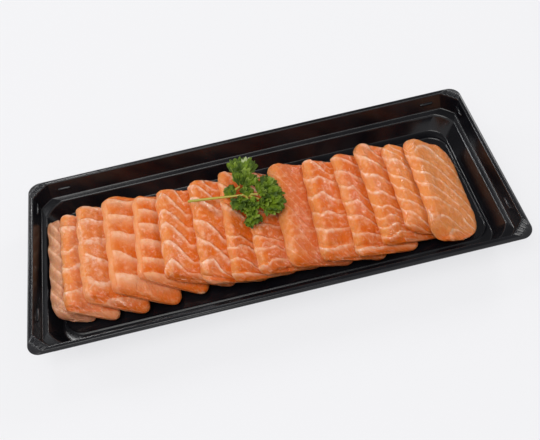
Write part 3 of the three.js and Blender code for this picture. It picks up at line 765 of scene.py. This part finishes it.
def tube(path, radii, sides=10):
    """Points and faces of a round stalk along a smooth curve through the path's points."""
    path = np.array(path, float)
    count = 8 * (len(path) - 1) + 1
    knots = np.arange(len(path))
    places = np.linspace(0, len(path) - 1, count)
    if len(path) > 2:
        fit = [np.polyfit(knots, path[:, axis], min(3, len(path) - 1)) for axis in range(3)]
        centres = np.stack([np.polyval(f, places) for f in fit], 1)
    else:
        centres = np.stack([np.interp(places, knots, path[:, axis]) for axis in range(3)], 1)
    along = np.gradient(centres, axis=0)
    along /= np.linalg.norm(along, axis=1, keepdims=True)
    side = np.cross(along, (0, 0, 1))
    side /= np.linalg.norm(side, axis=1, keepdims=True)
    up = np.cross(side, along)
    angle = np.arange(sides) * 2 * math.pi / sides
    radius = np.linspace(*radii, count)[:, None, None]
    ring = np.cos(angle)[:, None] * side[:, None] + np.sin(angle)[:, None] * up[:, None]
    points = (centres[:, None] + radius * ring).reshape(-1, 3)
    faces = grid_faces(count, sides, True)
    faces.append(tuple(range(sides)))
    faces.append(tuple(reversed(range((count - 1) * sides, count * sides))))
    return points, faces


def make_parsley():
    """Leaves and stalks of the sprig, as two pieces."""
    points, faces, places = [], [], []
    base = 0
    for number, leaflet in enumerate(LEAFLETS):
        for grid, place in leaflet_lobes(number, *leaflet):
            rows, columns = grid.shape[:2]
            grid[..., 2] = np.clip(grid[..., 2], LEAF_HEIGHTS[0], LEAF_HEIGHTS[1])
            points.append(grid.reshape(-1, 3))
            places.append(place.reshape(-1, 3))
            faces += [tuple(base + v for v in face) for face in grid_faces(rows, columns, False)]
            base += rows * columns
    leaves = new_object("parsley_leaves", np.concatenate(points), faces)
    add_attribute(leaves, "leaf", np.concatenate(places))
    shell = leaves.modifiers.new("thickness", "SOLIDIFY")
    shell.thickness = LEAF["thickness"] * MM
    shell.offset = 0
    points, faces = [], []
    base = 0
    for path in STEMS:
        radii = (STEM_RADIUS, 0.75 * STEM_RADIUS)
        stalk_points, stalk_faces = tube(path, radii)
        points.append(stalk_points)
        faces += [tuple(base + v for v in face) for face in stalk_faces]
        base += len(stalk_points)
    stalks = new_object("parsley_stalks", np.concatenate(points), faces)
    return leaves, stalks


# ---- Materials ------------------------------------------------------------------------------

class Recipe:
    """A node material and short ways to add nodes to it."""

    def __init__(self, name):
        self.material = bpy.data.materials.new(name)
        self.material.use_nodes = True
        self.nodes = self.material.node_tree.nodes
        self.links = self.material.node_tree.links
        self.shader = self.nodes["Principled BSDF"]

    def put(self, socket, value):
        if isinstance(value, bpy.types.NodeSocket):
            self.links.new(value, socket)
        else:
            socket.default_value = value

    def math(self, operation, first, second=0.0, clamp=False):
        node = self.nodes.new("ShaderNodeMath")
        node.operation = operation
        node.use_clamp = clamp
        self.put(node.inputs[0], first)
        self.put(node.inputs[1], second)
        return node.outputs[0]

    def less(self, whole, part, share=1.0):
        """whole less a share of part."""
        return self.math("SUBTRACT", whole, self.math("MULTIPLY", part, share))

    def mix(self, share, first, second):
        """A colour between two, each a socket or plain values."""
        node = self.nodes.new("ShaderNodeMix")
        node.data_type = "RGBA"
        self.put(node.inputs["Factor"], share)
        for name, colour in (("A", first), ("B", second)):
            plain = not isinstance(colour, bpy.types.NodeSocket)
            self.put(node.inputs[name], (*colour, 1) if plain else colour)
        return node.outputs["Result"]

    def ramp(self, value, low, high):
        """0 below low, 1 above high, smooth between."""
        node = self.nodes.new("ShaderNodeMapRange")
        node.interpolation_type = "SMOOTHSTEP"
        self.put(node.inputs["Value"], value)
        self.put(node.inputs["From Min"], low)
        self.put(node.inputs["From Max"], high)
        return node.outputs["Result"]

    def noise(self, place, scale, detail=3.0, stretch=(1, 1, 1), distortion=0.0):
        node = self.nodes.new("ShaderNodeTexNoise")
        node.inputs["Scale"].default_value = scale
        node.inputs["Detail"].default_value = detail
        node.inputs["Distortion"].default_value = distortion
        if stretch != (1, 1, 1):
            mapping = self.nodes.new("ShaderNodeMapping")
            mapping.inputs["Scale"].default_value = stretch
            self.links.new(place, mapping.inputs["Vector"])
            place = mapping.outputs["Vector"]
        self.links.new(place, node.inputs["Vector"])
        return node.outputs["Fac"]

    def attribute(self, name):
        node = self.nodes.new("ShaderNodeAttribute")
        node.attribute_name = name
        return node.outputs["Vector"]

    def parts(self, vector):
        node = self.nodes.new("ShaderNodeSeparateXYZ")
        self.links.new(vector, node.inputs[0])
        return node.outputs

    def place(self):
        """Place on the object, in metres."""
        return self.nodes.new("ShaderNodeTexCoord").outputs["Object"]

    def bump(self, height, distance, strength=1.0, target="Normal"):
        node = self.nodes.new("ShaderNodeBump")
        node.inputs["Distance"].default_value = distance * MM
        node.inputs["Strength"].default_value = strength
        self.links.new(height, node.inputs["Height"])
        self.links.new(node.outputs["Normal"], self.shader.inputs[target])

    def set(self, **values):
        for name, value in values.items():
            self.put(self.shader.inputs[name.replace("_", " ")], value)


# Flesh colours. light is the flesh where light falls on it, and deep is the same flesh in painted
# shade, also the colour of its random dark blots. pale is paler flesh for its streaks and haze, and
# for the painted light beside the lines and on a plain left side.
FLESH = {
    "light": (0.76, 0.265, 0.07),
    "deep_and_shade": (0.68, 0.125, 0.006),
    "pale": (0.84, 0.40, 0.20),
    "fat": (0.93, 0.62, 0.46),
    "red": (0.61, 0.125, 0.035),
    "grey": (0.44, 0.25, 0.17),
    "pink": (0.84, 0.42, 0.27),
    "tan": (0.66, 0.235, 0.08),
}

# How the flesh is marked. Lengths are in millimetres, and a pair is where a mark begins and where
# it is full. Of the other values each is a share.
MARKS = {
    "stray": 0.9,  # how far a line strays within the flesh
    "line": (0.15, 1.4),  # a line fades out between these shares of its width
    "line_rise": 0.9,
    "soft_rise": 0.6,
    "near": (4.0, 0.5),  # painted shade deepens the flesh within this of the near end
    "near_line": 0.75,  # how much of a line is lost there in that painted shade
    "flap": (8.0, 13.0),  # and the same painted shade where a slice goes under the next one
    "flap_line": 0.8,
    # how strong the painted shade at the near end and under the next slice is
    "ends_shade": 0.75,
    "band": (-0.5, 0.7),  # a plain left side ends here
    # painted light: how much lighter the plain left side is
    "band_painted_light": 0.35,
    "deep_and_shade": (-2.0, 4.0),  # painted shade deepens the colour to the right of the corner, towards the next slice
    "cloud_deep": 0.3,
    "grey": (-30.0, -20.0),
    "tint": (-1.0, 6.0),
    "fibre_pale": 0.16,
    "haze_pale": 0.45,
    "blot_deep": 0.6,
}


def flesh_marks(r, index):
    """How strong the lines of fat, the pale flesh beside them and the deep flesh are; the pale
    flesh is partly painted highlight and the deep flesh mostly painted shade.
    """
    fat = FAT[index]
    last = index == len(SLICES) - 1
    starts = [line[2] for line in fat["lines"]]
    pitch = (starts[0] - starts[-1]) / (len(starts) - 1)
    place = r.attribute("flesh")
    over, along = r.parts(place)[:2]
    phase = r.parts(r.attribute("fat"))[0]
    stray = r.math("SUBTRACT", r.noise(place, 1.1, 3.0), 0.5)
    phase = r.math("ADD", phase, r.math("MULTIPLY", stray, MARKS["stray"] / pitch))
    below = r.math("MULTIPLY", r.math("FRACT", phase), pitch)
    # Painted shade at the near end and where the slice goes under the next one.
    near_end = -SLICES[index][4][0]
    near = r.ramp(r.math("MULTIPLY", along, -1.0), *(near_end - reach for reach in MARKS["near"]))
    flap = 0.0 if last else r.ramp(over, *MARKS["flap"])
    line = r.less(1.0, r.ramp(below, *(share * fat["width"] for share in MARKS["line"])))
    line = r.math("MULTIPLY", line, r.ramp(below, 0.0, MARKS["line_rise"]))
    line = r.math("MULTIPLY", line, r.ramp(r.noise(place, 0.55, 4.0), 0.3, 0.62))
    line = r.math("MULTIPLY", line, fat["pale"], True)
    # A line fades in that painted shade.
    line = r.math("MULTIPLY", line, r.less(1.0, near, MARKS["near_line"]))
    line = r.math("MULTIPLY", line, r.less(1.0, flap, MARKS["flap_line"]))
    # Pale flesh beside a line: partly its own paler tone beside the fat, partly a painted highlight
    # where each flake's crest catches the light.
    soft = r.less(1.0, r.ramp(below, 0.0, fat["fade"]))
    soft = r.math("MULTIPLY", soft, r.ramp(below, 0.0, MARKS["soft_rise"]))
    soft = r.math("MULTIPLY", soft, fat["soft"])
    # A plain left side has no lines and is made lighter with painted light.
    if fat["band"]:
        inner = r.ramp(over, *MARKS["band"])
        line = r.math("MULTIPLY", line, inner)
        plain = r.less(MARKS["band_painted_light"], inner)
        soft = r.math("MAXIMUM", r.math("MULTIPLY", soft, inner), plain)
    cloud = r.ramp(r.noise(place, 0.17, 4.0), 0.3, 0.7)
    # That painted shade is added to the deep flesh.
    ends = r.math("MULTIPLY", r.math("MAXIMUM", near, flap), MARKS["ends_shade"])
    # Painted shade: the flesh deepens to the right of the corner, towards the next slice's step.
    deep_and_shade = r.math("MULTIPLY", r.ramp(over, *MARKS["deep_and_shade"]), fat["deep_and_shade"])
    deep_and_shade = r.math("ADD", deep_and_shade, ends)
    deep_and_shade = r.math("ADD", deep_and_shade, r.math("MULTIPLY", cloud, MARKS["cloud_deep"]), True)
    return place, line, soft, deep_and_shade


def flesh_material(index):
    """Moist raw salmon with this slice's lines of fat, and light and shade painted into its colour.
    """
    fat = FAT[index]
    r = Recipe(f"salmon_flesh_{index + 1:02d}")
    place, line, soft, deep_and_shade = flesh_marks(r, index)
    # From the lit flesh to the deep one: mostly painted shade, partly a random cloudy tone.
    colour = r.mix(deep_and_shade, FLESH["light"], FLESH["deep_and_shade"])
    kind, amount = fat["tint"]
    reach = r.ramp(r.parts(place)[0], *MARKS["grey" if kind == "grey" else "tint"])
    colour = r.mix(r.math("MULTIPLY", reach, amount), colour, FLESH[kind])
    fibre = r.ramp(r.noise(place, 0.9, 3.0, (1.6, 0.4, 1.6)), 0.45, 0.75)
    colour = r.mix(r.math("MULTIPLY", fibre, MARKS["fibre_pale"]), colour, FLESH["pale"])
    haze = r.ramp(r.noise(place, 0.3, 2.0), 0.5, 0.75)
    colour = r.mix(r.math("MULTIPLY", haze, MARKS["haze_pale"]), colour, FLESH["pale"])
    # Pale flesh beside the lines and on a plain left side: partly its own tone, partly painted
    # highlight and painted light.
    colour = r.mix(soft, colour, FLESH["pale"])
    blots = r.noise(place, 0.62, 3.0, (1, 1, 1), 0.6)
    pink = r.math("MULTIPLY", r.ramp(blots, 0.52, 0.72), fat["mottle"])
    dark = r.math("MULTIPLY", r.ramp(blots, 0.48, 0.28), fat["mottle"] * MARKS["blot_deep"])
    colour = r.mix(pink, colour, FLESH["pink"])
    colour = r.mix(dark, colour, FLESH["deep_and_shade"])
    colour = r.mix(line, colour, FLESH["fat"])
    grain = r.noise(r.place(), 900.0, 2.0)
    wet = r.noise(r.place(), 420.0, 2.0)
    film = r.ramp(r.noise(r.place(), 110.0, 2.0), 0.42, 0.56)
    height = r.math("ADD", r.math("MULTIPLY", grain, 0.3), r.math("MULTIPLY", blots, 0.7))
    r.bump(height, 1.0, 0.7)
    r.bump(r.math("ADD", wet, r.math("MULTIPLY", grain, 0.3)), 0.9, 1.0, "Coat Normal")
    r.set(
        Base_Color=colour,
        Roughness=0.45,
        IOR=1.36,
        Specular_IOR_Level=0.15,
        Subsurface_Weight=0.25,
        Subsurface_Radius=(1.0, 0.3, 0.1),
        Subsurface_Scale=0.003,
        Coat_Weight=r.math("MULTIPLY", r.math("ADD", film, line), fat["wet"], True),
        Coat_Roughness=0.05,
        Coat_IOR=1.5,
    )
    return r.material


PLASTIC = {"dark": (0.0035, 0.0035, 0.005), "light": (0.008, 0.008, 0.01)}
PARSLEY = {
    "dark": (0.035, 0.07, 0.002),
    "light": (0.145, 0.225, 0.008),
    "vein": (0.23, 0.32, 0.03),
    "edge": (0.30, 0.38, 0.08),
    "underside": (0.36, 0.42, 0.2),
    "stalk_dark": (0.36, 0.34, 0.03),
    "stalk_light": (0.5, 0.42, 0.06),
}


def tray_material():
    """Black thermoformed sheet."""
    r = Recipe("black_plastic")
    smear = r.noise(r.place(), 45.0, 4.0)
    fine = r.noise(r.place(), 700.0, 2.0)
    r.bump(r.math("ADD", smear, r.math("MULTIPLY", fine, 0.08)), 0.12, 0.5)
    r.set(
        Base_Color=r.mix(r.ramp(smear, 0.35, 0.7), PLASTIC["dark"], PLASTIC["light"]),
        Roughness=r.math("ADD", 0.1, r.math("MULTIPLY", smear, 0.2)),
        IOR=1.5,
    )
    return r.material


def leaf_material():
    """Fresh curly parsley: veins that fan out, paler edges, one lobe with its underside up."""
    r = Recipe("parsley_leaf")
    out, turn, number = r.parts(r.attribute("leaf"))[:3]
    ray = r.math("ABSOLUTE", r.math("SINE", r.math("MULTIPLY", turn, 7.0)))
    vein = r.less(1.0, r.ramp(ray, 0.0, 0.25))
    cells = r.noise(r.place(), 500.0, 3.0)
    tone = r.ramp(r.noise(r.place(), 260.0, 2.0), 0.35, 0.65)
    own = r.math("FRACT", r.math("MULTIPLY", number, 3.7))
    own_tone = r.math("MULTIPLY", r.math("SUBTRACT", own, 0.5), 0.8)
    colour = r.mix(r.math("ADD", tone, own_tone, True), PARSLEY["dark"], PARSLEY["light"])
    colour = r.mix(r.math("MULTIPLY", vein, 0.3), colour, PARSLEY["vein"])
    edge = r.math("MULTIPLY", r.ramp(out, 0.7, 1.0), r.ramp(own, 0.7, 0.95))
    colour = r.mix(r.math("MULTIPLY", edge, 0.5), colour, PARSLEY["edge"])
    other = r.math("ABSOLUTE", r.math("SUBTRACT", number, PALE_LOBE))
    turned = r.math("MULTIPLY", r.math("LESS_THAN", other, 0.02), r.ramp(out, 0.45, 0.85))
    colour = r.mix(turned, colour, PARSLEY["underside"])
    r.bump(r.math("SUBTRACT", cells, r.math("MULTIPLY", vein, 0.5)), 0.5, 0.7)
    r.set(Base_Color=colour, Roughness=0.5, Specular_IOR_Level=0.25)
    return r.material


def stalk_material():
    """Yellow-green stalk with fine ridges."""
    r = Recipe("parsley_stalk")
    ridges = r.noise(r.place(), 300.0, 3.0, (0.25, 1, 1))
    colour = r.mix(r.ramp(ridges, 0.3, 0.7), PARSLEY["stalk_dark"], PARSLEY["stalk_light"])
    r.bump(ridges, 0.2, 0.6)
    r.set(Base_Color=colour, Roughness=0.35, Subsurface_Weight=0.2, Subsurface_Scale=0.001)
    return r.material


def floor_material():
    """Pale studio floor, lit evenly from below so that shadows on it stay faint."""
    r = Recipe("pale_floor")
    r.set(
        Base_Color=(*FLOOR["colour"], 1),
        Roughness=0.9,
        Specular_IOR_Level=0.0,
        Emission_Color=(*SKY["colour"], 1),
        Emission_Strength=FLOOR["glow"],
    )
    return r.material


# ---- Scene ----------------------------------------------------------------------------------

def finish_piece(piece, material, slot, *nodes):
    piece.data.materials.clear()
    piece.data.materials.append(material)
    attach(piece, BODY)
    if nodes:
        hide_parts(*nodes)


def build_object():
    finish_piece(make_tray(), tray_material(), "black_plastic", "tray")
    for index in range(len(SLICES)):
        node = f"salmon_slice_{index + 1:02d}"
        finish_piece(make_slice(index), flesh_material(index), "salmon_flesh", node)
    leaves, stalks = make_parsley()
    finish_piece(leaves, leaf_material(), "parsley_green", "parsley_sprig")
    finish_piece(stalks, stalk_material(), "parsley_green", "parsley_sprig")


def add_floor():
    half = FLOOR["half"]
    corners = [(-half, -half, 0), (half, -half, 0), (half, half, 0), (-half, half, 0)]
    floor = new_object("floor", corners, [(0, 1, 2, 3)])
    floor.data.materials.append(floor_material())


def add_light(name, direction, distance, size, power, colour):
    light = bpy.data.lights.new(name, "AREA")
    light.shape = "RECTANGLE"
    light.size, light.size_y = size
    light.energy = power
    light.color = colour
    lamp = bpy.data.objects.new(name, light)
    bpy.context.scene.collection.objects.link(lamp)
    lamp.location = Vector(direction).normalized() * distance
    lamp.rotation_euler = Vector(direction).to_track_quat("Z", "Y").to_euler()


def add_sky():
    """An even sky with a dark patch over the far side, which the level faces mirror."""
    world = bpy.data.worlds.new("studio")
    world.use_nodes = True
    nodes, links = world.node_tree.nodes, world.node_tree.links
    background = nodes["Background"]
    background.inputs["Color"].default_value = (*SKY["colour"], 1)
    toward = nodes.new("ShaderNodeTexCoord")
    dot = nodes.new("ShaderNodeVectorMath")
    dot.operation = "DOT_PRODUCT"
    dot.inputs[1].default_value = Vector(SKY["dark_toward"]).normalized()
    links.new(toward.outputs["Generated"], dot.inputs[0])
    strength = nodes.new("ShaderNodeMapRange")
    strength.interpolation_type = "SMOOTHSTEP"
    for name, value in zip(("From Min", "From Max", "To Min", "To Max"), SKY["range"]):
        strength.inputs[name].default_value = value
    links.new(dot.outputs["Value"], strength.inputs["Value"])
    links.new(strength.outputs["Result"], background.inputs["Strength"])
    bpy.context.scene.world = world


def add_lights():
    for name, (direction, distance, size, power, colour) in LIGHTS.items():
        add_light(name, direction, distance, size, power, colour)
    add_sky()
    bpy.context.scene.view_settings.view_transform = "Standard"


def add_camera():
    data = bpy.data.cameras.new("camera")
    data.lens = CAMERA["lens"]
    camera = bpy.data.objects.new("camera", data)
    bpy.context.scene.collection.objects.link(camera)
    right, down, forward = (Vector(CAMERA[k]) for k in ("right", "down", "forward"))
    turn = Matrix((right, -down, -forward)).transposed()
    camera.matrix_world = Matrix.Translation(Vector(CAMERA["place"]) * MM) @ turn.to_4x4()
    bpy.context.scene.camera = camera


add_camera()
add_lights()
add_floor()
build_object()

bpy.context.view_layer.update()
